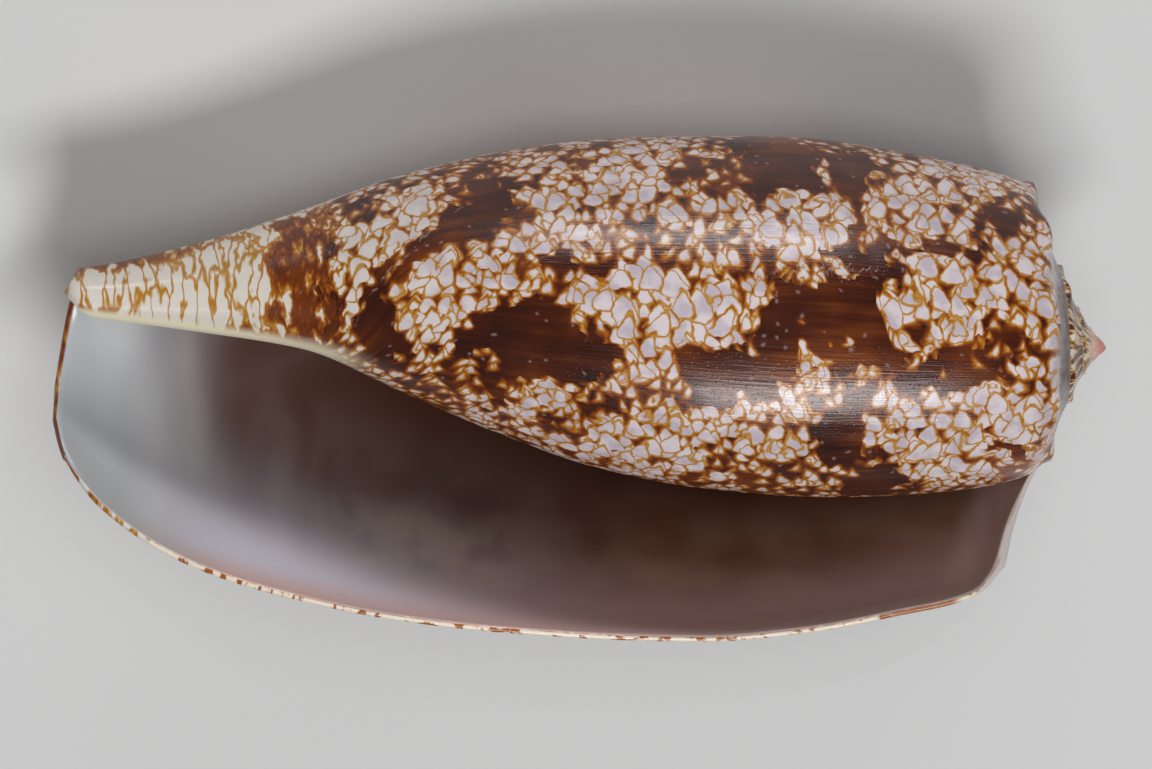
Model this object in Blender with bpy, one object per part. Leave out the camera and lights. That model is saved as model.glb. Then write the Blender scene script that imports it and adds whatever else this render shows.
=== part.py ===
# Cone shell: a large, thin, inflated cone with a low knobbed spire, grown as one piece.
# The outer solid is a loft of growth lines round the shell axis, and the hollow of the last two
# whorls is a second loft that a Boolean cuts out of it.
import bmesh
import bpy
import math
import numpy as np
from mathutils import Matrix, Vector

MM = 0.001

# Radii in mm at growth angles -360, -270, -180, -90 and 0 degrees, 0 being the lip edge. The first two
# rows are measured from the shoulder of the whorl, the others from the apex.
SHOULDER_RADII = (12.0, 14.2, 16.6, 18.7, 24.2)
SIDE_ROWS = (
    ("shoulder", 0.0, SHOULDER_RADII),
    ("shoulder", 3.0, (14.1, 16.1, 17.6, 20.1, 26.9)),
    ("apex", 21.6, (16.5, 18.3, 19.4, 22.3, 29.3)),
    ("apex", 32.0, (17.1, 19.2, 20.3, 23.4, 31.7)),
    ("apex", 42.4, (16.7, 18.8, 19.9, 23.4, 33.0)),
    ("apex", 52.8, (15.2, 17.5, 19.0, 22.8, 33.2)),
    ("apex", 63.2, (12.1, 15.1, 17.1, 21.5, 33.0)),
    ("apex", 73.6, (8.1, 11.7, 14.0, 19.8, 32.3)),
    ("apex", 84.1, (4.1, 7.3, 9.5, 17.2, 30.7)),
    ("apex", 94.5, (3.1, 4.3, 5.4, 13.8, 28.0)),
    ("apex", 104.9, (2.3, 2.4, 2.5, 9.2, 22.0)),
    ("apex", 109.4, (2.0, 1.9, 1.8, 7.2, 16.0)),
)
# Distance of the front margin from the apex in mm, by growth angle.
FRONT_MARGIN = (
    (-360, 106.3),
    (-315, 107.1),
    (-270, 107.8),
    (-180, 108.3),
    (-90, 108.1),
    (-60, 108.6),
    (-40, 109.3),
    (-20, 109.6),
    (0, 109.3),
)

# Spire
SPIRE_TURNS = 5
APEX_TIP = -0.4
SPIRE_SLOPE = 0.375
TIP_RISE = 1.45
TIP_SPREAD = 2.6
AXIS_LEAN = 0.05
NODULES = 9
NODULE_HEIGHT = 0.045
NODULE_PHASE = 0.525
RAMP_DIP = 0.035
LIP_FLARE = 0.5
SHOULDER_LOWER = 0.055

# Wall
LIP_WALL = 0.75
BODY_WALL = 1.4
INNER_WALL = 0.9
CORE_RADIUS = 1.5
GLAZE = 0.3
HOLLOW_TURNS = 2
PAST_FRONT = 112.5
MIN_GAP = 0.45
SOLID_TIP = 1.2

# Steps
STEPS = 54
RAMP_POINTS = 5
SIDE_POINTS = 17
SIDE_CROWD = 0.09
HOLLOW_STRIDE = 2
HOLLOW_SIDE = 13

# Rest on a level surface, mouth up: turned about the shell axis, then tipped end to end. The lowest
# part of the back is worn flat by a third of a millimetre, so that the shell lies still there.
REST_ROLL = -27.54
REST_PITCH = -0.246
FLOOR_WEAR = 0.35


def row_radius(radii, phi):
    q = radii[0] / radii[4]
    k = phi / 90.0 + 4.0
    i = math.floor(k)
    f = k - i

    def node(n):
        turns = 0
        while n < 0:
            n += 4
            turns += 1
        while n > 4:
            n -= 4
            turns -= 1
        return math.log(radii[n]) + turns * math.log(q)

    p0 = node(i - 1)
    p1 = node(i)
    p2 = node(i + 1)
    p3 = node(i + 2)
    m1 = (p2 - p0) / 2
    m2 = (p3 - p1) / 2
    value = (2 * f**3 - 3 * f**2 + 1) * p1 + (f**3 - 2 * f**2 + f) * m1
    value += (-2 * f**3 + 3 * f**2) * p2 + (f**3 - f**2) * m2
    return math.exp(value)


def shoulder(phi):
    radius = row_radius(SHOULDER_RADII, phi)
    return SPIRE_SLOPE * radius + TIP_RISE * (1 - math.exp(-radius / TIP_SPREAD)), radius


def slopes(x, y):
    d = np.diff(y) / np.diff(x)
    m = np.zeros(len(x))
    for i in range(1, len(x) - 1):
        if d[i - 1] * d[i] > 0:
            w1 = 2 * (x[i + 1] - x[i]) + (x[i] - x[i - 1])
            w2 = (x[i + 1] - x[i]) + 2 * (x[i] - x[i - 1])
            m[i] = (w1 + w2) / (w1 / d[i - 1] + w2 / d[i])
    m[0] = d[0] * 1.5 - m[1] * 0.5
    m[-1] = d[-1] * 1.5 - m[-2] * 0.5
    return m


def side_curve(phi):
    drop = shoulder(phi)[0]
    x = []
    y = []
    for start, distance, radii in SIDE_ROWS:
        x.append(drop + distance if start == "shoulder" else distance)
        y.append(row_radius(radii, phi))
    return np.array(x), np.array(y), slopes(x, y)


def side_radius(curve, s):
    x, y, m = curve
    i = int(np.clip(np.searchsorted(x, s) - 1, 0, len(x) - 2))
    h = x[i + 1] - x[i]
    c = min(max(s, x[0]), x[-1])
    f = (c - x[i]) / h
    value = (2 * f**3 - 3 * f**2 + 1) * y[i] + (f**3 - 2 * f**2 + f) * h * m[i]
    value += (-2 * f**3 + 3 * f**2) * y[i + 1] + (f**3 - f**2) * h * m[i + 1]
    slope = m[-1] if s > c else m[0]
    return value + (s - c) * slope


def side_slope(curve, s):
    return (side_radius(curve, s + 0.05) - side_radius(curve, s - 0.05)) / 0.1


def front_margin(phi):
    return float(np.interp(phi, [p[0] for p in FRONT_MARGIN], [p[1] for p in FRONT_MARGIN]))


def nodule(phi):
    wave = 0.5 + 0.5 * math.cos(math.radians(NODULES * phi) + math.tau * NODULE_PHASE)
    return wave**1.5 - 0.35


def lower_edge(phi):
    """The point just below the shoulder, where the next whorl meets this one."""
    drop, radius = shoulder(phi)
    s = drop + SHOULDER_LOWER * radius
    return s, side_radius(side_curve(phi), s)


def ramp(phi):
    """Points from the suture over the hollowed ramp and the knobbed shoulder to its lower edge."""
    s0, r0 = lower_edge(phi - 360)
    s1, r1 = shoulder(phi)
    bump = NODULE_HEIGHT * r1 * nodule(phi)
    width = r1 - r0
    flare = LIP_FLARE * max(0.0, 1 + phi / 12.0)
    points = []
    for f, dip in ((0.28, 1.0), (0.62, 0.9)):
        points.append((s0 + f * (s1 - s0) + RAMP_DIP * width * dip, r0 + f * width))
    points.append((s0 + 0.93 * (s1 - s0) - 0.6 * bump - flare, r0 + 0.92 * width))
    points.append((s1 + 0.01 * r1 - 0.4 * bump - flare, r1 + 0.8 * bump))
    points.append(lower_edge(phi))
    return points


def first_section(phi):
    """The first growth line, a low arch from the tip of the shell."""
    s1, r1 = lower_edge(phi)
    points = []
    for j in range(1, RAMP_POINTS + 1):
        f = j / RAMP_POINTS
        points.append((APEX_TIP + f * (s1 - APEX_TIP) + 0.1 * math.sin(math.pi * f), f * r1))
    return points


def place(s, r, phi):
    """The coiling axis leans a little against the planes of the whorls."""
    a = math.radians(phi)
    return Vector((-s, AXIS_LEAN * s - r * math.cos(a), r * math.sin(a)))


def outer_mesh():
    first = -SPIRE_TURNS * STEPS
    verts = []
    index = {}

    def add(key, point):
        index[key] = len(verts)
        verts.append(point)

    add("apex", place(APEX_TIP, 0.0, 0.0))
    for n in range(first, 1):
        phi = n * 360.0 / STEPS
        points = ramp(phi) if n > first else first_section(phi)
        for j, (s, r) in enumerate(points, start=1):
            add((n, j), place(s, r, phi))
    last = RAMP_POINTS + SIDE_POINTS
    for n in range(-STEPS, 1):
        phi = n * 360.0 / STEPS
        curve = side_curve(phi)
        top = lower_edge(phi)[0]
        end = front_margin(phi)
        for k in range(1, SIDE_POINTS + 1):
            f = k / SIDE_POINTS
            f = f - SIDE_CROWD * math.sin(math.tau * f)
            s = top + f * (end - top)
            add((n, RAMP_POINTS + k), place(s, side_radius(curve, s), phi))
    add("front", place(108.0, 0.0, 0.0))

    def vertex(n, j):
        if j > 0:
            return index[(n, j)]
        if n - STEPS < first:
            return index["apex"]
        return index[(n - STEPS, RAMP_POINTS)]

    faces = []
    for n in range(first, 0):
        count = last if n >= -STEPS else RAMP_POINTS
        for j in range(count):
            quad = [vertex(n, j), vertex(n, j + 1), vertex(n + 1, j + 1), vertex(n + 1, j)]
            faces.append(list(dict.fromkeys(quad)))
    faces.append([index["apex"]] + [vertex(first, j) for j in range(RAMP_POINTS, 0, -1)])
    for n in range(-STEPS, 0):
        faces.append([vertex(n, last), index["front"], vertex(n + 1, last)])
    top = [vertex(0, j) for j in range(RAMP_POINTS + 2)]
    faces.append(top + [vertex(-STEPS, RAMP_POINTS + 1)])
    for j in range(RAMP_POINTS + 1, last):
        faces.append([vertex(0, j), vertex(0, j + 1), vertex(-STEPS, j + 1), vertex(-STEPS, j)])
    faces.append([vertex(0, last), index["front"], vertex(-STEPS, last)])
    return verts, faces


def wall(phi):
    if phi > -60:
        return LIP_WALL + (BODY_WALL - LIP_WALL) * min(1.0, -phi / 60.0)
    if phi > -360:
        return BODY_WALL
    return INNER_WALL + (BODY_WALL - INNER_WALL) * max(0.0, 1 + (phi + 360) / 40.0)


def hollow_loop(phi, turn, lift):
    """One section of the hollow: under the ramp, down inside the wall, and back up the whorl before."""
    outer = side_curve(phi)
    inner = side_curve(phi - 360)
    t = wall(phi)
    s0, r0 = lower_edge(phi - 360)
    s1, r1 = shoulder(phi)
    top = s0 + 1.25 * t + 0.03 * (r1 - r0)

    def inner_radius(s):
        return max(side_radius(inner, s), CORE_RADIUS) + lift

    def outer_radius(s):
        return side_radius(outer, s) - t * math.sqrt(1 + side_slope(outer, s) ** 2)

    end = PAST_FRONT
    s = 40.0
    while s < PAST_FRONT:
        solid = SOLID_TIP * min(max((s - 85.0) / 15.0, 0.0), 1.0) if phi < -100 else 0.0
        if outer_radius(s) - inner_radius(s) < MIN_GAP + solid:
            end = s
            break
        s += 0.25
    start = s1 + 1.3 * t + 0.04 * r1
    points = [(top, inner_radius(top))]
    points.append((top + 0.5 * (s1 + 1.15 * t - top) + RAMP_DIP * (r1 - r0), 0.5 * (inner_radius(top) + r1)))
    points.append((s1 + 1.15 * t, r1 - 1.2 * t))
    stations = []
    for k in range(HOLLOW_SIDE + 1):
        f = k / HOLLOW_SIDE
        stations.append(start + f * (end - start))
    for s in stations:
        points.append((s, outer_radius(s)))
    for s in reversed(stations):
        points.append((s, inner_radius(s)))
    return [place(s, r, turn) for s, r in points]


def hollow_mesh():
    loops = []
    step = 360.0 / STEPS
    for n in range(-HOLLOW_TURNS * STEPS, 0, HOLLOW_STRIDE):
        loops.append(hollow_loop(n * step, n * step, 0.0))
    loops.append(hollow_loop(-0.5 * step, -0.5 * step, 0.6 * GLAZE))
    loops.append(hollow_loop(0.0, 5.0, 2.2 * GLAZE))
    verts = []
    for loop in loops:
        verts += loop
    count = len(loops[0])
    faces = []
    for i in range(len(loops) - 1):
        for k in range(count):
            a = i * count + k
            b = i * count + (k + 1) % count
            faces.append([a, a + count, b + count, b])
    for base in (0, len(verts) - count):
        faces.append([base, base + 1, base + 2, base + 3, base + count - 1])
        for k in range(HOLLOW_SIDE):
            a = base + 3 + k
            b = base + count - 1 - k
            faces.append([a, a + 1, b - 1, b])
    return verts, faces


def make_object(name, data, collection):
    mesh = bpy.data.meshes.new(name)
    bm = bmesh.new()
    verts = [bm.verts.new(v) for v in data[0]]
    for face in data[1]:
        bm.faces.new([verts[i] for i in face])
    bmesh.ops.triangulate(bm, faces=bm.faces[:], quad_method="SHORT_EDGE", ngon_method="EAR_CLIP")
    bmesh.ops.recalc_face_normals(bm, faces=bm.faces[:])
    bmesh.ops.scale(bm, vec=(MM, MM, MM), verts=bm.verts[:])
    bm.to_mesh(mesh)
    bm.free()
    obj = bpy.data.objects.new(name, mesh)
    collection.objects.link(obj)
    return obj


def collection(name):
    made = bpy.data.collections.new(name)
    bpy.context.scene.collection.children.link(made)
    return made


for old in list(bpy.data.objects):
    bpy.data.objects.remove(old, do_unlink=True)

parts = collection("cone_shell")
cutters = collection("cutters")

shell = make_object("shell", outer_mesh(), parts)
hollow = make_object("hollow", hollow_mesh(), cutters)
hollow.hide_render = True
hollow.display_type = "WIRE"

cut = shell.modifiers.new("hollow", "BOOLEAN")
cut.operation = "DIFFERENCE"
cut.solver = "EXACT"
cut.object = hollow

material = bpy.data.materials.new("shell")
material.use_nodes = True
principled = material.node_tree.nodes["Principled BSDF"]
principled.inputs["Base Color"].default_value = (0.42, 0.24, 0.12, 1.0)
principled.inputs["Roughness"].default_value = 0.3
shell.data.materials.append(material)

turned = Matrix.Rotation(math.radians(REST_PITCH), 4, "Y") @ Matrix.Rotation(math.radians(REST_ROLL), 4, "X")
points = np.array([turned @ v.co for v in shell.data.vertices])
low = points.min(axis=0)
high = points.max(axis=0)
middle = Vector(((low[0] + high[0]) / 2, (low[1] + high[1]) / 2, low[2] + FLOOR_WEAR * MM))
for obj in (shell, hollow):
    obj.data.transform(Matrix.Translation(-middle) @ turned)
for vertex in shell.data.vertices:
    vertex.co.z = max(vertex.co.z, 0.0)
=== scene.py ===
# Cone shell: the looks. One smooth mesh takes the place of the faceted shell, with a glossy tented
# pattern outside, a porcelain-like lining inside and a spotted lip between the two.
import bpy
import math
import numpy as np
from mathutils import Matrix, Vector


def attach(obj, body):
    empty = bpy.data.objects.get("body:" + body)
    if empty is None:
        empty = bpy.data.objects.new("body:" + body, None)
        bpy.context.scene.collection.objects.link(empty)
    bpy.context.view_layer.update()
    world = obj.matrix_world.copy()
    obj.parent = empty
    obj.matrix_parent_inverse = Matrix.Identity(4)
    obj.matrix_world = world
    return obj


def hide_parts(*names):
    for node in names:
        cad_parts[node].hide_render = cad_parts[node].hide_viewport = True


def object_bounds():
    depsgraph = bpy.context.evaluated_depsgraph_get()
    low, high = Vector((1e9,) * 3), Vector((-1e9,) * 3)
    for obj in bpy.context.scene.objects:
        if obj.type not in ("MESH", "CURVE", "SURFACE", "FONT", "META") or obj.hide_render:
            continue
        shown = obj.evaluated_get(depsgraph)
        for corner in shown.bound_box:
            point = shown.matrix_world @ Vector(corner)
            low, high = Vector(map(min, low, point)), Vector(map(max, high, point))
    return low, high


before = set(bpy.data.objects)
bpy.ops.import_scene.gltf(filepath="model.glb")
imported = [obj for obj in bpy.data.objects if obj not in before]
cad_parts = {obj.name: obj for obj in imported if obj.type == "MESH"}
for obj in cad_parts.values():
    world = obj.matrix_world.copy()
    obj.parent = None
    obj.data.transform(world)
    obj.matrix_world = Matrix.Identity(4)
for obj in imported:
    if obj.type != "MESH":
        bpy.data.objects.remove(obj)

CAD_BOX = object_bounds()
MM = 0.001

# Form, in mm: the solid's measures, with a front margin, lip corner, knobs and spire tip that are a
# little rounder. Radii are given at growth angles -360, -270, -180, -90 and 0 degrees, 0 being the lip
# edge. The first two rows are measured from the shoulder of the whorl, the others from the apex.
SHOULDER_RADII = (12.0, 14.2, 16.6, 18.7, 24.2)
SIDE_ROWS = (
    ("shoulder", 0.0, SHOULDER_RADII),
    ("shoulder", 3.0, (14.1, 16.1, 17.6, 20.1, 26.9)),
    ("apex", 21.6, (16.5, 18.3, 19.4, 22.3, 29.3)),
    ("apex", 32.0, (17.1, 19.2, 20.3, 23.4, 31.7)),
    ("apex", 42.4, (16.7, 18.8, 19.9, 23.4, 33.0)),
    ("apex", 52.8, (15.2, 17.5, 19.0, 22.8, 33.2)),
    ("apex", 63.2, (12.1, 15.1, 17.1, 21.5, 33.0)),
    ("apex", 73.6, (8.1, 11.7, 14.0, 19.8, 32.3)),
    ("apex", 84.1, (4.1, 7.3, 9.5, 17.2, 30.7)),
    ("apex", 94.5, (3.1, 4.3, 5.4, 13.8, 28.0)),
    ("apex", 104.9, (2.3, 2.4, 2.5, 9.2, 22.0)),
    ("apex", 109.4, (2.0, 1.9, 1.8, 7.2, 16.0)),
)
# Distance of the front margin from the apex, by growth angle
FRONT_MARGIN = (
    (-360, 106.4),
    (-330, 107.5),
    (-300, 108.2),
    (-270, 108.5),
    (-240, 108.6),
    (-210, 108.5),
    (-180, 108.2),
    (-150, 107.6),
    (-120, 107.2),
    (-90, 107.6),
    (-60, 108.6),
    (-40, 109.3),
    (-20, 109.6),
    (-10, 109.2),
    (0, 108.7),
)
SPIRE_TURNS = 5
APEX_TIP = -0.4
SPIRE_SLOPE = 0.375
TIP_RISE = 1.45
TIP_SPREAD = 2.6
TIP_ROUND = 0.5
TIP_REACH = 1.6
AXIS_LEAN = 0.05
NODULES = 9
NODULE_HEIGHT = 0.045
NODULE_PHASE = 0.525
RAMP_DIP = 0.035
LIP_FLARE = 0.5
SHOULDER_LOWER = 0.055
LIP_WALL = 0.75
BODY_WALL = 1.4
CORE_RADIUS = 1.5
REST_ROLL = -27.54
REST_PITCH = -0.246
FLOOR_WEAR = 0.35
LIP_CORNER = 4.5
FIRST_PHI = -360 * SPIRE_TURNS

# Steps of the mesh
STEP = 2.0
DEEPEST = -300.0
RAMP_STEPS = 16
SIDE_STEPS = 110
RIM_STEPS = 8
LIP_STEPS = 6


def row_radius(radii, phi):
    """Radius of one spiral row at growth angle phi, a smooth curve through its five measures."""
    q = math.log(radii[0] / radii[4])
    logs = [math.log(r) for r in radii]
    k = np.asarray(phi, float) / 90.0 + 4.0
    i = np.floor(k).astype(int)
    f = k - i

    def node(n):
        turns = np.where(n > 4, -((n - 1) // 4), np.where(n < 0, (-n + 3) // 4, 0))
        return np.take(logs, n + 4 * turns) + turns * q

    p0, p1, p2, p3 = node(i - 1), node(i), node(i + 1), node(i + 2)
    m1 = (p2 - p0) / 2
    m2 = (p3 - p1) / 2
    value = (2 * f**3 - 3 * f**2 + 1) * p1 + (f**3 - 2 * f**2 + f) * m1
    value += (-2 * f**3 + 3 * f**2) * p2 + (f**3 - f**2) * m2
    return np.exp(value)


def shoulder(phi):
    radius = float(row_radius(SHOULDER_RADII, phi))
    drop = SPIRE_SLOPE * radius + TIP_RISE * (1 - math.exp(-radius / TIP_SPREAD))
    return drop - TIP_ROUND * math.exp((0.73 - radius) / TIP_REACH), radius


def slopes(x, y):
    d = np.diff(y) / np.diff(x)
    m = np.zeros(len(x))
    for i in range(1, len(x) - 1):
        if d[i - 1] * d[i] > 0:
            w1 = 2 * (x[i + 1] - x[i]) + (x[i] - x[i - 1])
            w2 = (x[i + 1] - x[i]) + 2 * (x[i] - x[i - 1])
            m[i] = (w1 + w2) / (w1 / d[i - 1] + w2 / d[i])
    m[0] = d[0] * 1.5 - m[1] * 0.5
    m[-1] = d[-1] * 1.5 - m[-2] * 0.5
    return m


def side_curve(phi):
    drop = shoulder(phi)[0]
    x = np.array([drop + d if start == "shoulder" else d for start, d, radii in SIDE_ROWS])
    y = np.array([float(row_radius(radii, phi)) for start, d, radii in SIDE_ROWS])
    return x, y, slopes(x, y)


def side_radius(curve, s):
    x, y, m = curve
    s = np.asarray(s, float)
    c = np.clip(s, x[0], x[-1])
    i = np.clip(np.searchsorted(x, s) - 1, 0, len(x) - 2)
    h = x[i + 1] - x[i]
    f = (c - x[i]) / h
    value = (2 * f**3 - 3 * f**2 + 1) * y[i] + (f**3 - 2 * f**2 + f) * h * m[i]
    value += (-2 * f**3 + 3 * f**2) * y[i + 1] + (f**3 - f**2) * h * m[i + 1]
    return value + (s - c) * np.where(s > c, m[-1], m[0])


def front_margin(phi):
    return float(np.interp(phi, [p[0] for p in FRONT_MARGIN], [p[1] for p in FRONT_MARGIN]))


def nodule(phi):
    wave = 0.5 + 0.5 * math.cos(math.radians(NODULES * phi) + math.tau * NODULE_PHASE)
    return wave**1.5 - 0.35


def lower_edge(phi):
    drop, radius = shoulder(phi)
    s = drop + SHOULDER_LOWER * radius
    return s, float(side_radius(side_curve(phi), s))


def ramp_corners(phi):
    """The suture, the hollowed ramp, the knobbed shoulder and its lower edge."""
    s0, r0 = lower_edge(phi - 360)
    s1, r1 = shoulder(phi)
    bump = NODULE_HEIGHT * r1 * nodule(phi)
    width = r1 - r0
    flare = LIP_FLARE * max(0.0, 1 + phi / 12.0)
    points = [(s0, r0)]
    for f, dip in ((0.28, 1.0), (0.62, 0.9)):
        points.append((s0 + f * (s1 - s0) + RAMP_DIP * width * dip, r0 + f * width))
    points.append((s0 + 0.93 * (s1 - s0) - 1.0 * bump - flare, r0 + 0.92 * width))
    points.append((s1 + 0.01 * r1 - 0.8 * bump - flare, r1 + 0.9 * bump))
    points.append(lower_edge(phi))
    return points


def spline(points, count, after):
    """count + 1 points, evenly spaced, on a smooth curve through the given ones."""
    p = np.array(points, float)
    p = np.vstack([2 * p[0] - p[1], p, np.array(after, float)])
    fine = []
    for i in range(1, len(p) - 2):
        for f in np.linspace(0, 1, 12, endpoint=False):
            a, b, c, d = p[i - 1], p[i], p[i + 1], p[i + 2]
            m1, m2 = (c - a) / 2, (d - b) / 2
            fine.append(
                (2 * f**3 - 3 * f**2 + 1) * b + (f**3 - 2 * f**2 + f) * m1
                + (-2 * f**3 + 3 * f**2) * c + (f**3 - f**2) * m2
            )
    fine.append(p[-2])
    fine = np.array(fine)
    far = np.concatenate([[0], np.cumsum(np.linalg.norm(np.diff(fine, axis=0), axis=1))])
    at = np.linspace(0, far[-1], count + 1)
    return np.stack([np.interp(at, far, fine[:, 0]), np.interp(at, far, fine[:, 1])], axis=1)


def smooth(x):
    x = np.clip(x, 0.0, 1.0)
    return x * x * (3 - 2 * x)


def wall(phi):
    return LIP_WALL + (BODY_WALL - LIP_WALL) * float(smooth(-phi / 60.0))


def ramp_section(phi, curve):
    after = lower_edge(phi)[0] + 1.2
    if phi <= FIRST_PHI:
        s1, r1 = lower_edge(phi)
        f = np.linspace(0, 1, RAMP_STEPS + 1)
        return np.stack([APEX_TIP + f**1.8 * (s1 - APEX_TIP), f * r1], axis=1)
    return spline(ramp_corners(phi), RAMP_STEPS, (after, float(side_radius(curve, after))))


def side_section(phi, curve):
    """Outer side from the lower edge of the shoulder, and how far the front rim bends in."""
    top = lower_edge(phi)[0]
    end = front_margin(phi)
    radius = float(side_radius(curve, end))
    solid = float(smooth((-phi - 120.0) / 60.0))
    thick = wall(phi) + (2 * max(radius, CORE_RADIUS) - wall(phi)) * solid
    half = thick / 2
    depth = min(half, 1.6)
    f = np.arange(1, SIDE_STEPS + 1) / SIDE_STEPS
    s = top + (f - 0.05 * np.sin(math.tau * f)) * (end - depth - top)
    r = side_radius(curve, s)
    if phi < -330:
        core = float(smooth((-phi - 330.0) / 60.0))
        r = r + core * (np.maximum(r, CORE_RADIUS) - r)
    mid = r[-1] - half
    psi = np.arange(1, RIM_STEPS) * math.pi / RIM_STEPS
    rim = np.stack([end - depth + depth * np.sin(psi), np.maximum(mid + half * np.cos(psi), 0.0)], axis=1)
    return np.stack([s, r], axis=1), rim, thick


def lining_section(phi, curve, side, thick):
    """The inside of the outer wall: under the ramp, round the shoulder and down the side."""
    t = wall(phi)
    under = side_curve(phi - 360)
    s0, r0 = lower_edge(phi - 360)
    s1, r1 = shoulder(phi)
    top = s0 + 1.25 * t + 0.03 * (r1 - r0)
    r_top = float(side_radius(under, top)) - 0.3
    corners = [
        (top - 0.3, r_top),
        (top + 0.5 * (s1 + 1.15 * t - top) + RAMP_DIP * (r1 - r0), 0.5 * (r_top + r1)),
        (s1 + 1.15 * t, r1 - 1.25 * t),
    ]
    s = side[:, 0]
    slope = (side_radius(curve, s + 0.05) - side_radius(curve, s - 0.05)) / 0.1
    end = s[-1]
    local = t + (thick - t) * smooth((s - (end - 14.0)) / 14.0)
    lean = np.sqrt(1 + slope**2)
    lean = lean + (1 - lean) * smooth((s - (end - 4.0)) / 4.0)
    r = np.maximum(side[:, 1] - local * lean, 0.0)
    s_in = np.maximum(s, s1 + 1.6 * t + 0.04 * r1 + (s - s[0]) * 0.6)
    blend = smooth((s - s[0]) / 12.0)
    s_in = s_in * (1 - blend) + s * blend
    r_in = np.maximum(side_radius(curve, s_in) - local * lean, 0.0) * (1 - blend) + r * blend
    inner = np.stack([s_in, r_in], axis=1)
    corners.append(tuple(inner[0]))
    return np.vstack([spline(corners, RAMP_STEPS + 1, tuple(inner[1])), inner[1:]])


def place(s, r, phi):
    a = np.radians(phi)
    return np.stack([-s, AXIS_LEAN * s - r * np.cos(a), r * np.sin(a)], axis=-1)


def lip_set_back(s, end):
    """How far the lip is rounded off in mm where it meets the front margin."""
    x = np.clip(s - (end - LIP_CORNER), 0.0, LIP_CORNER)
    return LIP_CORNER - np.sqrt(np.maximum(LIP_CORNER**2 - x**2, 0.0))


class Skin:
    """Vertices with their growth angle, height, place in the section and side of the wall."""

    def __init__(self):
        self.co = []
        self.phi = []
        self.height = []
        self.inner = []
        self.faces = []

    def add(self, point, phi, s, inner):
        self.co.append(point)
        self.phi.append(phi)
        self.height.append(s)
        self.inner.append(inner)
        return len(self.co) - 1

    def row(self, sr, phi, inner, turn=None):
        points = place(sr[:, 0], sr[:, 1], phi if turn is None else turn)
        angle = np.full(len(sr), phi) if turn is None else turn
        return [self.add(p, a, s, inner) for p, a, s in zip(points, angle, sr[:, 0])]

    def quad(self, a, b, c, d):
        face = list(dict.fromkeys((a, b, c, d)))
        if len(face) > 2:
            self.faces.append(face)


def build_skin():
    skin = Skin()
    first = int(FIRST_PHI / STEP)
    turn = int(360 / STEP)
    deepest_side = int((DEEPEST - 360) / STEP)
    deepest = int(DEEPEST / STEP)
    outer = {}
    lining = {}
    apex = skin.add(place(np.array(APEX_TIP), np.array(0.0), 0.0), FIRST_PHI, APEX_TIP, 0.0)
    for n in range(first, 1):
        phi = n * STEP
        curve = side_curve(phi)
        ramp = ramp_section(phi, curve)
        section = ramp[1:]
        if n >= deepest_side:
            side, rim, thick = side_section(phi, curve)
            section = np.vstack([section, side, rim])
        angle = np.full(len(section), phi)
        if n > -20 and n >= deepest_side:
            end = front_margin(phi)
            back = lip_set_back(section[:, 0], end) * math.exp(phi / 9.0)
            back += LIP_WALL / 2 * math.exp(phi / 6.0)
            angle = phi - np.degrees(back / np.maximum(section[:, 1], 6.0))
        outer[n] = skin.row(section, phi, 0.0, angle)
        if n >= deepest:
            inside = lining_section(phi, curve, side, thick)
            under_ramp = np.full(RAMP_STEPS, angle[RAMP_STEPS - 1])
            within = np.concatenate([under_ramp, angle[RAMP_STEPS - 1 : RAMP_STEPS + SIDE_STEPS]])
            lining[n] = skin.row(inside, phi, 1.0, within)

    side_end = RAMP_STEPS + SIDE_STEPS
    section_end = side_end + RIM_STEPS - 1

    def out(n, j):
        if j > 0:
            return outer[n][j - 1]
        return apex if n - turn < first else outer[n - turn][RAMP_STEPS - 1]

    for n in range(first, 0):
        count = section_end if n >= deepest_side else RAMP_STEPS
        for j in range(count):
            skin.quad(out(n, j), out(n, j + 1), out(n + 1, j + 1), out(n + 1, j))
    skin.faces.append([apex] + [out(first, j) for j in range(RAMP_STEPS, 0, -1)])

    for n in range(deepest, 0):
        for j in range(side_end):
            skin.quad(lining[n][j + 1], lining[n][j], lining[n + 1][j], lining[n + 1][j + 1])
        skin.quad(out(n, section_end), lining[n][side_end], lining[n + 1][side_end], out(n + 1, section_end))

    # The lip: each outer point is joined to the inner point across the wall by a half round
    pairs = [(out(0, j), lining[0][j]) for j in range(side_end + 1)]
    for a in range(1, RIM_STEPS // 2 + 1):
        pairs.append((out(0, side_end + a), out(0, side_end + RIM_STEPS - a)))
    rows = []
    for a, b in pairs:
        pa = np.array(skin.co[a])
        pb = np.array(skin.co[b])
        middle = (pa + pb) / 2
        half = (pa - pb) / 2
        width = float(np.linalg.norm(half))
        radial = np.array([0.0, middle[1] - AXIS_LEAN * -middle[0], middle[2]])
        radial /= max(np.linalg.norm(radial), 1e-9)
        forward = np.cross(radial, np.array([-1.0, AXIS_LEAN, 0.0]))
        forward /= np.linalg.norm(forward)
        if forward[2] < 0:
            forward = -forward
        row = [a]
        for i in range(1, LIP_STEPS):
            psi = math.pi * i / LIP_STEPS
            point = middle + half * math.cos(psi) + forward * min(width, 0.5) * math.sin(psi)
            row.append(skin.add(point, 0.0, skin.height[a], i / LIP_STEPS) if a != b else a)
        row.append(b)
        rows.append(row)
    for first_row, second_row in zip(rows, rows[1:]):
        for i in range(LIP_STEPS):
            skin.quad(first_row[i], second_row[i], second_row[i + 1], first_row[i + 1])
    return skin


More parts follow.
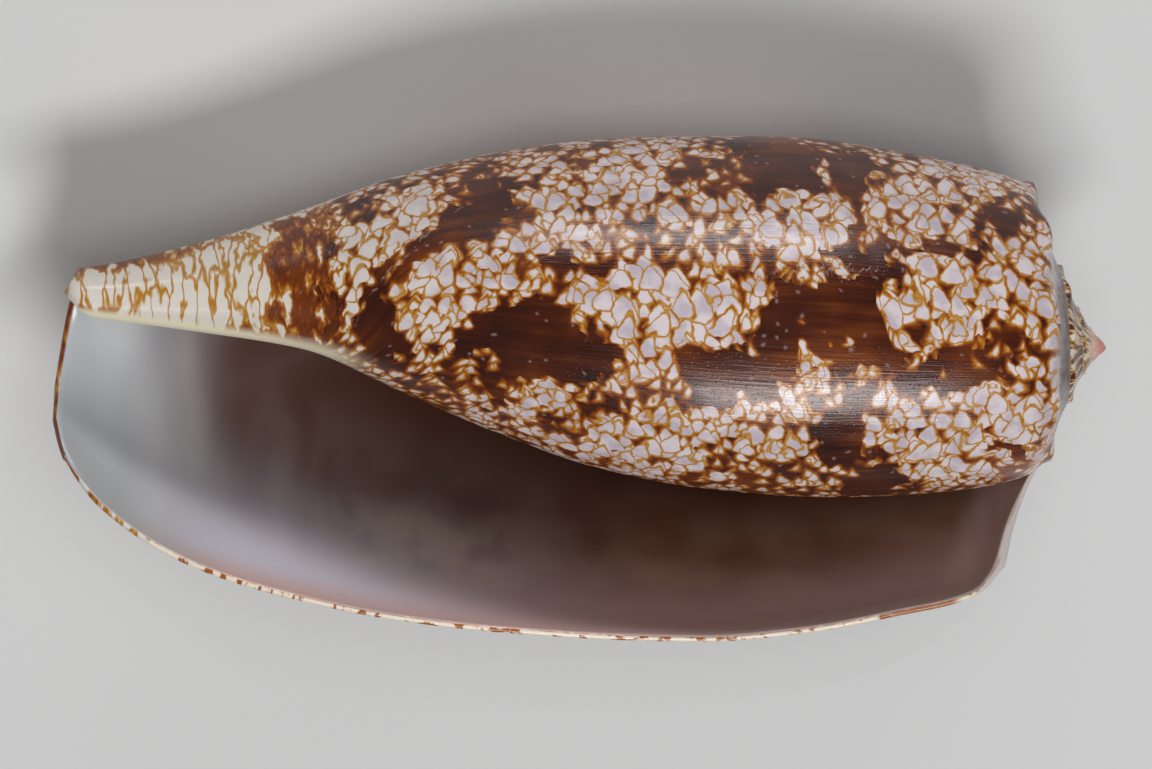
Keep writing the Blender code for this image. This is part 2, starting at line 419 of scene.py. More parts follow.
# Markings. Each patch of the side that faces the camera is an ellipse: place of its middle, length
# along the shell and breadth across it in tenths of a millimetre, its slant in degrees, and how much of
# the ground is white there, from 0 for plain dark brown to 1 for white with hair lines.
PATCHES = (
    (965, 77, 350, 130, 0, 0.92),
    (865, 77, 24, 110, 8, 0.50),
    (837, 62, 62, 130, 8, 0.10),
    (757, 122, 120, 46, 38, 0.97),
    (790, 55, 36, 66, -5, 0.80),
    (767, 27, 26, 74, 14, 0.06),
    (667, 142, 118, 50, 22, 0.10),
    (707, 47, 80, 84, 10, 0.86),
    (722, 97, 24, 70, -38, 0.12),
    (640, 87, 90, 62, 0, 0.66),
    (622, 7, 116, 88, -12, 0.02),
    (677, -28, 90, 44, 12, 0.34),
    (547, 162, 160, 50, 10, 0.86),
    (507, 197, 170, 24, 6, 0.84),
    (587, 112, 90, 48, 0, 0.72),
    (467, 147, 120, 44, 0, 0.76),
    (547, 85, 110, 18, 0, 0.20),
    (407, 112, 110, 40, 0, 0.50),
    (477, 32, 200, 92, -5, 0.95),
    (507, -28, 110, 44, 8, 0.74),
    (392, 27, 50, 70, 0, 0.90),
    (557, -25, 100, 36, 0, 0.04),
    (407, -28, 126, 50, 0, 0.03),
    (617, -50, 80, 40, 14, 0.86),
    (547, -93, 130, 30, 22, 0.80),
    (467, -93, 220, 62, 10, 0.90),
    (547, -63, 60, 22, 0, 0.26),
    (417, -73, 100, 36, 0, 0.72),
    (330, 187, 180, 56, 0, 0.02),
    (420, 182, 66, 50, 0, 0.32),
    (337, 122, 100, 78, 0, 0.97),
    (299, 172, 16, 30, 0, 0.60),
    (267, 157, 34, 100, 0, 0.03),
    (317, 17, 156, 104, 0, 0.02),
    (267, 47, 62, 170, 0, 0.02),
    (305, 73, 52, 20, 25, 0.68),
    (332, 12, 22, 16, 0, 0.60),
    (301, 7, 30, 14, 0, 0.52),
    (337, -48, 34, 74, 0, 0.82),
    (297, -93, 60, 80, 0, 0.02),
    (245, -93, 52, 76, 0, 0.93),
    (247, -141, 62, 26, 0, 0.06),
    (182, -68, 84, 60, 0, 0.74),
    (127, -83, 136, 90, -8, 0.93),
    (107, -110, 50, 26, -18, 0.08),
    (177, -118, 116, 36, -8, 0.92),
    (187, -23, 186, 42, 0, 0.14),
    (107, 2, 90, 50, 0, 0.26),
    (197, 45, 106, 96, 0, 0.99),
    (202, 102, 116, 18, -3, 0.10),
    (207, 142, 136, 66, 12, 0.80),
    (107, 97, 90, 22, 0, 0.50),
    (107, 52, 84, 76, 0, 0.82),
    (67, 17, 40, 200, 0, 0.80),
    (147, 170, 210, 44, 14, 0.80),
)
PATCH_EDGE = 0.22
TENTHS = 10


def waves(points, length, seed):
    """A smooth random field from about -1 to 1 with the given wave length in mm."""
    draw = np.random.default_rng(seed)
    total = np.zeros(len(points))
    for _ in range(14):
        way = draw.normal(size=3)
        way /= np.linalg.norm(way)
        own_length = length * draw.uniform(0.7, 1.6)
        total += np.cos(points @ way * math.tau / own_length + draw.uniform(0, math.tau))
    return total / 3.2


def whiteness(body, phi):
    """How much of the ground is white at each point, 0 to 1."""
    ground = 0.46 + 0.42 * waves(body * np.array([1.0, 0.75, 0.75]), 26.0, 4) + 0.15 * waves(body, 9.0, 9)
    front = smooth((body[:, 2] + 2.5) / 4.0) * (phi < -150)
    wander = np.stack([waves(body, 6.0, 21), waves(body, 6.0, 22)], axis=1)
    wander += np.stack([waves(body, 2.6, 23), waves(body, 2.6, 24)], axis=1) * 0.5
    x = (wander[:, 0] - body[:, 0]) * TENTHS
    y = (wander[:, 1] + body[:, 1]) * TENTHS
    painted = np.full(len(body), 0.42) + 0.1 * waves(body, 7.0, 31)
    for px, py, width, breadth, slant, value in PATCHES:
        a = math.radians(slant)
        dx = px - x
        dy = y - py
        u = (dx * math.cos(a) + dy * math.sin(a)) / (width / 2)
        v = (-dx * math.sin(a) + dy * math.cos(a)) / (breadth / 2)
        inside = 1 - smooth((np.sqrt(u * u + v * v) - 1 + PATCH_EDGE) / (2 * PATCH_EDGE))
        painted = painted + (value - painted) * inside
    return np.clip(ground * (1 - front) + painted * front, 0.0, 1.0)


def growth_lines(phi, s):
    """Place across the growth lines in mm: they run along the shell, and wrap round its front end."""
    turn_mm = 18.0
    beak = smooth((-phi - 100.0) / 60.0)
    past = np.maximum(s - 69.5, 0.0)
    bend = np.where(past < 11.0, 0.15 * past**2, 18.15 + 3.3 * (past - 11.0))
    narrow = 1 - 0.85 * smooth(past / 30.0)
    return turn_mm * np.radians(phi + 270.0) * (1 - beak * (1 - narrow)) + bend * beak


def chart(phi, s):
    """A flat map of the last whorls in mm: down the shell, and the way it grew."""
    angles = np.arange(-1900.0, 1.0, 5.0)
    middle_radius = np.array([float(side_radius(side_curve(a), 42.0)) for a in angles])
    arc = np.concatenate([[0], np.cumsum((middle_radius[1:] + middle_radius[:-1]) / 2 * math.radians(5.0))])
    arc -= np.interp(-270.0, angles, arc)
    v = np.interp(phi, angles, arc)
    beak = smooth((-phi - 100.0) / 60.0)
    narrow = 1 - 0.55 * beak * smooth((s - 62.0) / 24.0)
    past = np.clip(s - 64.0, 0.0, 16.0)
    bend = 0.03 * past**2 + 0.96 * np.maximum(s - 80.0, 0.0)
    return np.stack([s, v * narrow + bend * beak, np.zeros(len(s))], axis=1)


RIM_WIDTH = 1.2


def store(mesh, name, values):
    if values.ndim == 1:
        layer = mesh.attributes.new(name, "FLOAT", "POINT")
        layer.data.foreach_set("value", values.astype(np.float32))
    else:
        layer = mesh.attributes.new(name, "FLOAT_VECTOR", "POINT")
        layer.data.foreach_set("vector", values.astype(np.float32).ravel())


skin = build_skin()
body = np.array(skin.co)
phi = np.array(skin.phi)
height = np.array(skin.height)
inner = np.array(skin.inner)

mesh = bpy.data.meshes.new("cone_shell")
mesh.from_pydata(body.tolist(), [], skin.faces)
shell = bpy.data.objects.new("cone_shell", mesh)
bpy.context.scene.collection.objects.link(shell)
mesh.polygons.foreach_set("use_smooth", [True] * len(mesh.polygons))

turned = Matrix.Rotation(math.radians(REST_PITCH), 4, "Y") @ Matrix.Rotation(math.radians(REST_ROLL), 4, "X")
mesh.transform(Matrix.Scale(MM, 4))
mesh.transform(turned)
low = Vector([min(v.co[i] for v in mesh.vertices) for i in range(3)])
high = Vector([max(v.co[i] for v in mesh.vertices) for i in range(3)])
middle = Vector(((low[0] + high[0]) / 2, (low[1] + high[1]) / 2, low[2] + FLOOR_WEAR * MM))
mesh.transform(Matrix.Translation(-middle))
for vertex in mesh.vertices:
    vertex.co.z = max(vertex.co.z, 0.0)

# The smooth skin bulges a little past the flat faces of the solid: it is drawn in to the same box
corners = np.array([vertex.co for vertex in mesh.vertices])
fit = (np.array(CAD_BOX[1]) - np.array(CAD_BOX[0])) / (corners.max(axis=0) - corners.min(axis=0))
for i in range(3):
    mesh.transform(Matrix.Scale(min(float(fit[i]), 1.0), 4, Vector([float(i == k) for k in range(3)])))

squeeze = 1 - 0.7 * smooth((height - 74.0) / 20.0) * (phi > -420)
axis_y = AXIS_LEAN * height
spots = np.stack([body[:, 0], (body[:, 1] - axis_y) * squeeze, body[:, 2] * squeeze], axis=1)
store(mesh, "spots", spots)
store(mesh, "chart", chart(phi, height))
store(mesh, "white", whiteness(body, phi))
store(mesh, "growth", growth_lines(phi, height))
store(mesh, "form", np.stack([height, body[:, 1], body[:, 2]], axis=1))
store(mesh, "down", height)
store(mesh, "lining", inner)
radius = np.hypot(body[:, 1] - axis_y, body[:, 2])
angles = np.arange(-1900.0, 1.0)
edge = np.interp(phi, angles, np.array([lower_edge(a)[0] for a in angles]))
above = np.interp(phi, angles, np.array([lower_edge(a - 360)[0] for a in angles]))
up_ramp = np.clip((edge - height) / np.maximum(edge - above, 0.2), -1.0, 1.2)
outer_side = inner < 0.5
store(mesh, "ramp", smooth((up_ramp - 0.35) / 0.25) * smooth((phi + 400.0) / 60.0) * outer_side)
spire = smooth((-330.0 - phi) / 60.0) * (height <= edge + 0.01) * outer_side
store(mesh, "spire", spire)
deep = np.where(inner > 0.5, -phi, np.maximum(-360.0 - phi, 0.0) * (1 - spire))
store(mesh, "deep", np.radians(deep) * radius)
store(mesh, "whorl", np.stack([phi / 360.0, up_ramp, radius], axis=1))
from_lip = np.radians(-phi) * radius
on_edge = (inner > 0.02) & (inner < 0.98)
beside_edge = 1.0 - np.clip(from_lip / RIM_WIDTH, 0.0, 1.0)
rim = np.where(on_edge, 1.0 - smooth((inner - 0.45) / 0.4), beside_edge)
rim = np.where(inner > 0.98, 0.0, rim)
store(mesh, "rim", rim * (height < 100.0))
low_side = smooth((body[:, 1] - axis_y) / np.maximum(radius, 0.1) * -3.2 - 1.5)
store(mesh, "callus", low_side * smooth((height - 76.0) / 6.0) * (phi < -300) * outer_side)

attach(shell, "root")
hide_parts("shell")


COLOURS = {
    "ground dark": "2A0B02",
    "ground": "431703",
    "ground light": "713508",
    "dust": "A58E92",
    "edge brown": "743408",
    "rust": "985614",
    "gold": "AE7C28",
    "tent grey": "B3A7B0",
    "tent white": "CCC1C4",
    "beak white": "CFC8BE",
    "knob cream": "CDC3B4",
    "ray gold": "A9762A",
    "ray brown": "44220F",
    "tip rose": "C07A6E",
    "tip cream": "CDB09E",
    "channel grey": "857F8C",
    # Brown of the channel, partly the shell's own brown and partly painted shade in the hollow
    "brown and painted shade in the channel": "3A261E",
    "callus": "D8D0B4",
    # The four glaze colours below are partly the glaze's own colour and partly painted shade of the deep
    # mouth
    "painted shade on glaze brown": "7E5341",
    "painted shade on glaze brown light": "96705B",
    "painted shade on glaze grey": "65504C",
    "painted shade on glaze grey light": "81706A",
    # Painted shade: the near black of the lining deep inside the mouth
    "painted shade deep in the mouth": "46291F",
    "pale cloud": "A38F80",
    "lilac at the back": "CDA8A4",
    "lilac in front": "D2CDDA",
    # Lip pink: the lip's own pink, painted lighter as painted light on the dim inner wall
    "lip pink": "E8CFC9",
    "lip pink in front": "D9B9B6",
    "front blue": "B2B6BA",
    "front white": "C6C8C8",
    # The two lip end colours: the lip's own pink, painted lighter as painted light
    "lip end rim with painted light": "D8C8C2",
    "pink lip end with painted light": "DDB9B1",
    "glazed body": "B9A9A6",
    "rim cream": "DCD0BC",
    "rim brown": "93500F",
    "rim end": "BDB5B2",
    "growth mark": "B59C94",
}


def colour(name):
    """A named colour, written as six hex digits, as linear light."""
    parts = [int(COLOURS[name][i : i + 2], 16) / 255 for i in (0, 2, 4)]
    return tuple(c / 12.92 if c <= 0.04045 else ((c + 0.055) / 1.055) ** 2.4 for c in parts) + (1.0,)


class Nodes:
    """Short calls that add and join shader nodes. A value may be a number, a colour or a socket."""

    def __init__(self, material):
        material.use_nodes = True
        self.tree = material.node_tree
        self.shader = self.tree.nodes["Principled BSDF"]

    def put(self, socket, value):
        if isinstance(value, bpy.types.NodeSocket):
            self.tree.links.new(value, socket)
        else:
            socket.default_value = value

    def math(self, operation, *values, clamp=False):
        node = self.tree.nodes.new("ShaderNodeMath")
        node.operation = operation
        node.use_clamp = clamp
        for socket, value in zip(node.inputs, values):
            self.put(socket, value)
        return node.outputs[0]

    def vector(self, operation, *values):
        node = self.tree.nodes.new("ShaderNodeVectorMath")
        node.operation = operation
        for socket, value in zip(node.inputs, values):
            self.put(socket, value)
        return node.outputs["Vector"]

    def plus(self, a, b):
        return self.math("ADD", a, b)

    def minus(self, a, b):
        return self.math("SUBTRACT", a, b)

    def times(self, a, b):
        return self.math("MULTIPLY", a, b)

    def scaled(self, vector, amount):
        node = self.tree.nodes.new("ShaderNodeVectorMath")
        node.operation = "SCALE"
        self.put(node.inputs[0], vector)
        self.put(node.inputs["Scale"], amount)
        return node.outputs["Vector"]

    def span(self, value, low, high, to_low=0.0, to_high=1.0, smooth_step=True):
        node = self.tree.nodes.new("ShaderNodeMapRange")
        node.interpolation_type = "SMOOTHSTEP" if smooth_step else "LINEAR"
        for socket, given in zip(node.inputs, (value, low, high, to_low, to_high)):
            self.put(socket, given)
        return node.outputs[0]

    def mix(self, factor, a, b):
        node = self.tree.nodes.new("ShaderNodeMix")
        node.data_type = "RGBA"
        self.put(node.inputs["Factor"], factor)
        self.put(node.inputs[6], a)
        self.put(node.inputs[7], b)
        return node.outputs[2]

    def ramp(self, value, stops):
        node = self.tree.nodes.new("ShaderNodeValToRGB")
        elements = node.color_ramp.elements
        while len(elements) < len(stops):
            elements.new(0.5)
        for element, (place_at, shade) in zip(elements, stops):
            element.position = place_at
            element.color = shade
        self.put(node.inputs[0], value)
        return node.outputs[0]

    def noise(self, vector, scale, detail=2.0, rough=0.5, output=0):
        node = self.tree.nodes.new("ShaderNodeTexNoise")
        self.put(node.inputs["Vector"], vector)
        node.inputs["Scale"].default_value = scale
        node.inputs["Detail"].default_value = detail
        node.inputs["Roughness"].default_value = rough
        return node.outputs[output]

    def voronoi(self, vector, scale, feature="F1", flat=False):
        node = self.tree.nodes.new("ShaderNodeTexVoronoi")
        node.voronoi_dimensions = "2D" if flat else "3D"
        node.feature = feature
        self.put(node.inputs["Vector"], vector)
        node.inputs["Scale"].default_value = scale
        return node

    def attribute(self, name, output="Fac"):
        node = self.tree.nodes.new("ShaderNodeAttribute")
        node.attribute_name = name
        return node.outputs[output]

    def joined(self, x, y, z):
        node = self.tree.nodes.new("ShaderNodeCombineXYZ")
        for socket, value in zip(node.inputs, (x, y, z)):
            self.put(socket, value)
        return node.outputs[0]

    def parts(self, vector):
        node = self.tree.nodes.new("ShaderNodeSeparateXYZ")
        self.put(node.inputs[0], vector)
        return tuple(node.outputs)

    def draws(self, cell):
        """Three random numbers of a Voronoi cell."""
        node = self.tree.nodes.new("ShaderNodeSeparateColor")
        self.put(node.inputs[0], cell.outputs["Color"])
        return tuple(node.outputs)


def hair_cells(n, spots, spacing, line, seed):
    """Signed distance in mm to white cells that hair lines part."""
    moved = n.vector("ADD", spots, (seed, seed * 0.7, -seed))
    edges = n.voronoi(moved, 1.0 / spacing, "DISTANCE_TO_EDGE")
    return n.minus(n.times(edges.outputs["Distance"], spacing), line)


# Form of a tent: slopes of its sides, top and base, how far it drops, rounds and blunts for its size,
# and how much its size, width and slant are drawn by chance. One smaller than the least is left out.
TENT_SIDE = 1.60
TENT_TOP = 0.62
TENT_BASE = 1.05
TENT_DROP = 0.15
TENT_ROUND = 1.40
TENT_BLUNT = 0.30
TENT_LEAST = 0.50
TENT_LEFT_OUT = 4.0
SIZE_DRAW = 0.22
WIDTH_DRAW = 0.5
LEAN_DRAW = 0.7

# The three layers of tents, the biggest in front: spacing in mm, the whiteness from which they grow
# and at which they are largest, their least and largest size in mm, and a seed
TENT_LAYERS = (
    (2.8, (0.42, 0.95, 0.00, 1.80), 3.0),
    (2.4, (0.18, 0.75, 0.10, 1.55), 11.0),
    (1.8, (0.04, 0.50, 0.15, 1.10), 17.0),
)
LAYER_LINE = 0.16


def one_tent(n, at, cell, size, spacing):
    """Signed distance in mm to one white tent, a rounded triangle that points the way the shell grew."""
    size_draw, lean_draw, width_draw = n.draws(cell)
    reach = n.plus(size, n.times(n.minus(size_draw, 0.5), spacing * SIZE_DRAW))
    reach = n.minus(reach, n.times(n.math("LESS_THAN", reach, TENT_LEAST), TENT_LEFT_OUT))
    aside, up, _ = n.parts(n.vector("SUBTRACT", at, cell.outputs["Position"]))
    aside = n.plus(aside, n.times(up, n.times(n.minus(lean_draw, 0.5), LEAN_DRAW)))
    blunt = n.math("MAXIMUM", n.times(reach, TENT_BLUNT), 0.05)
    across = n.math("SQRT", n.plus(n.times(aside, aside), n.times(blunt, blunt)))
    up = n.plus(up, n.times(reach, TENT_DROP))
    width = n.plus(n.times(width_draw, WIDTH_DRAW), TENT_SIDE - WIDTH_DRAW / 2)
    slope = n.plus(n.times(across, width), n.times(up, TENT_TOP))
    corner = n.math("MAXIMUM", n.times(reach, TENT_ROUND), 0.1)
    form = n.math("SMOOTH_MAX", slope, n.times(up, -TENT_BASE), corner)
    return n.minus(reach, form)


def tents(n, chart, spacing, size, line, seed):
    """Signed distance in mm to overlapping white tents. Where two overlap, the earlier one is in front
    and a hair line runs round its arch."""
    moved = n.vector("ADD", chart, (seed, seed * 0.7, 0.0))
    cells = [n.voronoi(moved, 1.0 / spacing, feature, flat=True) for feature in ("F1", "F2")]
    near, far = [one_tent(n, moved, cell, size, spacing) for cell in cells]
    near_at, far_at = [n.parts(cell.outputs["Position"])[1] for cell in cells]
    change = n.times(n.math("LESS_THAN", far_at, near_at), n.minus(far, near))
    front = n.plus(near, change)
    back = n.minus(far, change)
    behind = n.math("MINIMUM", back, n.times(front, -1.0))
    return n.minus(n.math("MAXIMUM", front, behind), line)


def under(n, front, back, line):
    """Two layers as one: the back one shows where the front one leaves room, past a hair line."""
    room = n.minus(n.times(front, -1.0), line)
    return n.math("MAXIMUM", front, n.math("MINIMUM", back, room))


coat = bpy.data.materials.new("tented_shell")
n = Nodes(coat)
spots_in = n.attribute("spots", "Vector")
chart_in = n.attribute("chart", "Vector")
white_in = n.attribute("white")
growth_in = n.attribute("growth")
down_in = n.attribute("down")
lining_in = n.attribute("lining")
deep_in = n.attribute("deep")
turns_in, up_in, wide_in = n.parts(n.attribute("whorl", "Vector"))
s_in, y_in, z_in = n.parts(n.attribute("form", "Vector"))

# White tents and the hair lines between them, and long narrow cells on the beak
MIDDLE = (0.5, 0.5, 0.5)
broad = n.vector("SUBTRACT", n.noise(spots_in, 0.30, 2.0, 0.5, 1), MIDDLE)
fine = n.vector("SUBTRACT", n.noise(spots_in, 1.3, 1.0, 0.6, 1), MIDDLE)
sway = n.vector("ADD", n.scaled(broad, 1.8), n.scaled(fine, 0.38))
bent = n.vector("ADD", spots_in, sway)
flat = n.vector("ADD", chart_in, sway)
line_width = n.span(white_in, 0.35, 0.95, 0.22, 0.17, False)
field = None
for spacing, sizes, seed in TENT_LAYERS:
    layer = tents(n, flat, spacing, n.span(white_in, *sizes, False), line_width, seed)
    field = layer if field is None else under(n, field, layer, LAYER_LINE)
narrow_cells = n.vector("MULTIPLY", n.vector("ADD", bent, n.scaled(fine, 0.9)), (1.3, 0.8, 0.8))
lines = hair_cells(n, narrow_cells, 1.75, n.span(white_in, 0.3, 0.92, 0.55, 0.09, False), 5.0)
beak_share = n.span(n.plus(down_in, n.times(n.noise(spots_in, 0.5), 8.0)), 84.5, 85.5)
field = n.plus(n.times(field, n.minus(1.0, beak_share)), n.times(lines, beak_share))

# Brown ground with streaks and dust, which turns to rust and gold towards each tent
streaks = n.noise(n.joined(n.times(growth_in, 0.9), n.times(down_in, 0.06), 0.0), 1.0, 2.0, 0.6)
blotch = n.noise(spots_in, 0.12, 2.0, 0.5)
tone = n.plus(n.times(streaks, 0.35), n.times(blotch, 0.65))
ground_stops = ((0.36, "ground dark"), (0.50, "ground"), (0.68, "ground light"))
ground = n.ramp(tone, [(at, colour(name)) for at, name in ground_stops])
dust = n.voronoi(flat, 1 / 1.3, flat=True)
few = n.math("GREATER_THAN", n.draws(dust)[0], 0.84)
speck = n.times(n.span(dust.outputs["Distance"], 0.02, 0.24, 0.40, 0.0), few)
outside = n.mix(speck, ground, colour("dust"))
for low, high, name in ((-0.70, -0.25, "edge brown"), (-0.34, -0.12, "rust"), (-0.16, -0.02, "gold")):
    outside = n.mix(n.span(field, low, high), outside, colour(name))
milk = n.span(n.noise(spots_in, 0.45, 2.0), 0.36, 0.62)
milky = n.mix(milk, colour("tent grey"), colour("tent white"))
cream = n.mix(n.span(down_in, 62.0, 92.0), milky, colour("beak white"))
outside = n.mix(n.span(field, -0.04, 0.12), outside, cream)

# Spire: cream knobs with brown rays, a rosy tip, and a grey violet channel on the last whorl with brown
# streaks, partly its own colour and partly painted shade
rays = n.noise(n.joined(n.times(turns_in, 46.0), n.times(up_in, 0.9), 0.0), 1.0, 2.0, 0.6)
rayed = n.mix(n.span(rays, 0.42, 0.50), colour("knob cream"), colour("ray gold"))
rayed = n.mix(n.span(rays, 0.49, 0.56), rayed, colour("ray brown"))
rosy_tip = n.mix(n.span(wide_in, 0.5, 2.0), colour("tip rose"), colour("tip cream"))
rayed = n.mix(n.span(wide_in, 1.2, 3.4), rosy_tip, rayed)
outside = n.mix(n.attribute("spire"), outside, rayed)
# Painted shade: brown streaks darken the hollow channel, partly the shell's own brown and partly shade
# painted into the colour
shade = n.noise(n.joined(n.times(turns_in, 12.0), n.times(up_in, 1.2), 3.0), 1.0, 2.0, 0.6)
channel = n.mix(n.span(shade, 0.34, 0.58), colour("channel grey"), colour("brown and painted shade in the channel"))
outside = n.mix(n.attribute("ramp"), outside, channel)
outside = n.mix(n.attribute("callus"), outside, colour("callus"))

# Glaze inside: pink near the lip, smoky brown and grey deeper, partly the glaze's own colour and partly
# painted shade that grows with depth, bluish white at the front
cloud = n.noise(spots_in, 0.13, 1.5, 0.45)
clouded = n.span(cloud, 0.34, 0.68)
brown_tone = n.mix(clouded, colour("painted shade on glaze brown"), colour("painted shade on glaze brown light"))
grey_tone = n.mix(clouded, colour("painted shade on glaze grey"), colour("painted shade on glaze grey light"))
deep_glaze_and_shade = n.mix(n.span(down_in, 42.0, 66.0), brown_tone, grey_tone)
# Painted shade: the glaze turns near black from 10 to 26 mm into the mouth
deep_glaze_and_shade = n.mix(n.span(deep_in, 10.0, 26.0), deep_glaze_and_shade, colour("painted shade deep in the mouth"))
off_middle = n.span(n.math("ABSOLUTE", n.minus(down_in, 69.0)), 4.0, 15.0, 0.75, 0.0)
off_depth = n.span(n.math("ABSOLUTE", n.minus(deep_in, 12.0)), 1.0, 6.5, 1.0, 0.0)
uneven = n.span(n.noise(spots_in, 0.22, 2.0), 0.30, 0.55, 0.35, 1.0)
pale_cloud = n.times(n.times(off_middle, off_depth), uneven)
deep_glaze_and_shade = n.mix(pale_cloud, deep_glaze_and_shade, colour("pale cloud"))
front_band = n.span(down_in, 45.0, 92.0)
lilac = n.mix(front_band, colour("lilac at the back"), colour("lilac in front"))
# Painted light: the lip's pink is painted lighter towards the back, where the inner wall gets little lamp
# light
lip_pink_and_painted_light = n.mix(n.span(down_in, 26.0, 58.0), colour("lip pink"), colour("lip pink in front"))
rosy = n.mix(n.span(deep_in, 0.5, 5.0), lip_pink_and_painted_light, lilac)
# Painted shade: the lining turns from the rosy lip to the darker deep tone further into the mouth
pink_reach = n.plus(front_band, 11.0)
lining = n.mix(n.span(n.math("DIVIDE", deep_in, pink_reach), 0.35, 1.5), rosy, deep_glaze_and_shade)
pale = n.span(n.plus(down_in, n.times(cloud, 8.0)), 92.0, 110.0)
pale_tone = n.mix(n.span(cloud, 0.3, 0.7), colour("front blue"), colour("front white"))
lining = n.mix(pale, lining, pale_tone)
# Painted light: the lining at the back end of the lip is painted a lighter pink where the lamps reach it
# only dimly
from_end = n.span(n.plus(down_in, n.times(deep_in, 0.45)), 14.5, 20.5, 1.0, 0.0)
painted_light_at_back_end = n.times(from_end, n.span(deep_in, 12.0, 28.0, 1.0, 0.0))
back_end_pink_and_painted_light = n.mix(n.span(deep_in, 0.5, 2.5), colour("lip end rim with painted light"), colour("pink lip end with painted light"))
lining = n.mix(painted_light_at_back_end, lining, back_end_pink_and_painted_light)
inside_share = n.span(lining_in, 0.50, 0.80)
glazed = n.span(deep_in, 0.5, 6.0)
body_share = n.times(n.math("SUBTRACT", 1.0, lining_in, clamp=True), glazed)
outer_share = n.math("SUBTRACT", 1.0, n.math("MAXIMUM", inside_share, body_share), clamp=True)
face = n.mix(inside_share, outside, lining)
face = n.mix(body_share, face, colour("glazed body"))

# Lip edge: cream with irregular brown dashes, plain white where it meets the shoulder
dashes = n.noise(n.vector("MULTIPLY", spots_in, (0.6, 0.9, 0.9)), 1.0, 3.0, 0.6)
dash_share = n.span(dashes, 0.53, 0.60)
long_dash = n.times(n.span(down_in, 14.5, 16.0), n.span(down_in, 21.5, 24.0, 0.9, 0.0))
dashed = n.mix(n.math("MAXIMUM", dash_share, long_dash), colour("rim cream"), colour("rim brown"))
dashed = n.mix(n.span(down_in, 12.0, 14.5, 1.0, 0.0), dashed, colour("rim end"))
face = n.mix(n.span(n.attribute("rim"), 0.55, 0.80), face, dashed)

# Two old growth marks on the back, where the shell had stopped growing: an arc and a jagged break
ARC_TOP = 80.2
BREAK_SIDE = 7.4
jags = n.minus(n.noise(n.vector("MULTIPLY", spots_in, (0.8, 0.25, 0.25)), 1.0, 2.0, 0.7), 0.5)
lift = n.plus(y_in, 2.0)
arc = n.plus(n.times(lift, 0.12), n.times(n.times(lift, lift), 0.038))
from_arc = n.plus(n.minus(n.plus(s_in, arc), ARC_TOP), n.times(jags, 1.6))
from_break = n.plus(n.minus(y_in, BREAK_SIDE), n.times(jags, 7.0))
front_part = n.times(n.span(z_in, 1.5, 4.0), outer_share)
arc_part = n.times(n.span(y_in, -4.0, -1.5), n.span(y_in, 12.5, 15.5, 1.0, 0.0))
arc_part = n.times(arc_part, front_part)
break_part = n.times(n.span(s_in, 24.5, 27.0), n.span(s_in, 34.5, 37.5, 1.0, 0.0))
break_part = n.times(break_part, front_part)
gaps = n.span(n.noise(spots_in, 0.9, 2.0), 0.42, 0.56)
arc_line = n.span(n.math("ABSOLUTE", from_arc), 0.02, 0.17, 0.45, 0.0)
break_line = n.span(n.math("ABSOLUTE", from_break), 0.03, 0.14, 0.25, 0.0)
face = n.mix(n.times(arc_line, n.times(arc_part, gaps)), face, colour("growth mark"))
face = n.mix(n.times(break_line, break_part), face, colour("growth mark"))
n.put(n.shader.inputs["Base Color"], face)
arc_step = n.times(n.span(from_arc, -0.3, 0.3), arc_part)
break_step = n.times(n.span(from_break, -0.2, 0.2), break_part)
steps = n.plus(arc_step, break_step)

# Fine growth lines and small pits in the gloss
threads = n.noise(n.joined(n.times(growth_in, 4.5), n.times(down_in, 0.12), 0.0), 1.0, 2.0, 0.65)
pits = n.voronoi(chart_in, 1.3, flat=True)
pit = n.times(n.span(pits.outputs["Distance"], 0.05, 0.16, -1.0, 0.0), 0.35)
relief = n.plus(n.plus(threads, pit), n.times(steps, 1.6))
bump = n.tree.nodes.new("ShaderNodeBump")
bump.inputs["Strength"].default_value = 0.30
bump.inputs["Distance"].default_value = 0.00012
n.put(bump.inputs["Height"], n.times(relief, outer_share))
n.put(n.shader.inputs["Normal"], bump.outputs[0])
worn = n.span(threads, 0.35, 0.7, -0.06, 0.10, False)
n.put(n.shader.inputs["Roughness"], n.plus(n.times(worn, outer_share), 0.24))
n.shader.inputs["Specular IOR Level"].default_value = 0.38
n.shader.inputs["Coat Weight"].default_value = 0.12
n.shader.inputs["Coat Roughness"].default_value = 0.10
mesh.materials.append(coat)

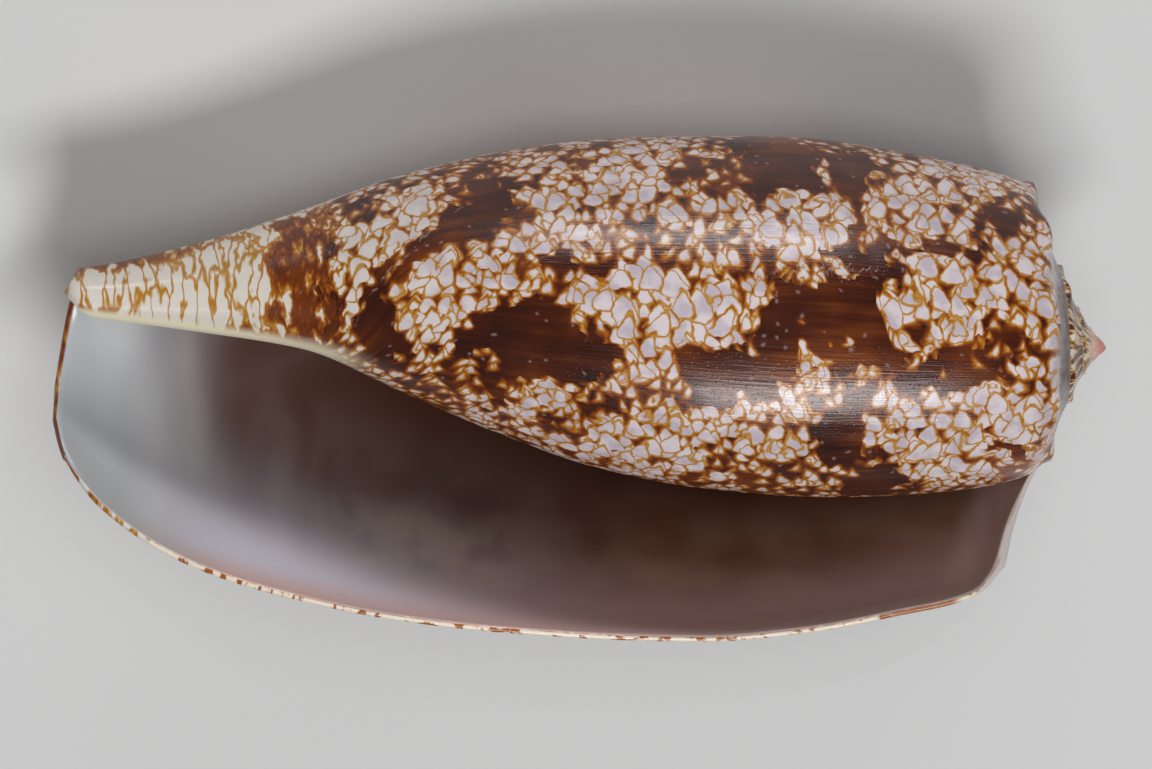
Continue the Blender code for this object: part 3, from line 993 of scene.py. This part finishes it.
# Camera: the photograph's viewing angle on the shell, from one metre with a long lens
floor_mesh = bpy.data.meshes.new("floor")
floor_mesh.from_pydata([(-2, -2, 0), (2, -2, 0), (2, 2, 0), (-2, 2, 0)], [], [(0, 1, 2, 3)])
floor = bpy.data.objects.new("floor", floor_mesh)
bpy.context.scene.collection.objects.link(floor)
paper = bpy.data.materials.new("floor_paper")
paper.use_nodes = True
paper_shader = paper.node_tree.nodes["Principled BSDF"]
paper_shader.inputs["Base Color"].default_value = (0.60, 0.60, 0.60, 1.0)
paper_shader.inputs["Roughness"].default_value = 0.9
floor_mesh.materials.append(paper)

VIEW_TILT = -5.0
DISTANCE = 1.0
VIEW_WIDTH = 0.120
view = turned @ Matrix.Rotation(math.radians(VIEW_TILT), 4, "Y")
shell_middle = Vector((-0.0553, 0, 0))
view_shift = Matrix.Rotation(math.radians(VIEW_TILT), 3, "Y") @ Vector((0, -0.0039, 0))
aim = turned @ (shell_middle + view_shift) - middle
camera_data = bpy.data.cameras.new("camera")
camera = bpy.data.objects.new("camera", camera_data)
bpy.context.scene.collection.objects.link(camera)
camera_data.sensor_width = 36.0
camera_data.lens = 36.0 * DISTANCE / VIEW_WIDTH
camera_data.clip_start = 0.05
camera_data.clip_end = 20.0
camera.matrix_world = Matrix.Translation(aim) @ view @ Matrix.Translation((0, 0, DISTANCE))
bpy.context.scene.camera = camera
bpy.context.scene.view_settings.view_transform = "Standard"

world = bpy.data.worlds.new("studio")
bpy.context.scene.world = world
world.use_nodes = True
sky = world.node_tree.nodes["Background"]
sky.inputs["Color"].default_value = (1, 1, 1, 1)
sky.inputs["Strength"].default_value = 0.16


def lamp(name, place_at, look_at, size, power, mirrored=True):
    data = bpy.data.lights.new(name, "AREA")
    data.shape = "RECTANGLE"
    data.size = size[0]
    data.size_y = size[1]
    data.energy = power
    light = bpy.data.objects.new(name, data)
    bpy.context.scene.collection.objects.link(light)
    light.visible_glossy = mirrored
    light.location = place_at
    light.rotation_mode = "QUATERNION"
    light.rotation_quaternion = (Vector(look_at) - Vector(place_at)).to_track_quat("-Z", "Y")


lamp("softbox", (0.1, -0.25, 0.7), (0, 0, 0.02), (0.35, 0.18), 3.3)
lamp("strip", (0.0, 0.8, 0.14), (0, 0, 0.03), (0.5, 0.12), 2.6)
lamp("fill", (0.0, 0.45, 1.0), (0, 0, 0.02), (0.5, 0.5), 3.4, False)
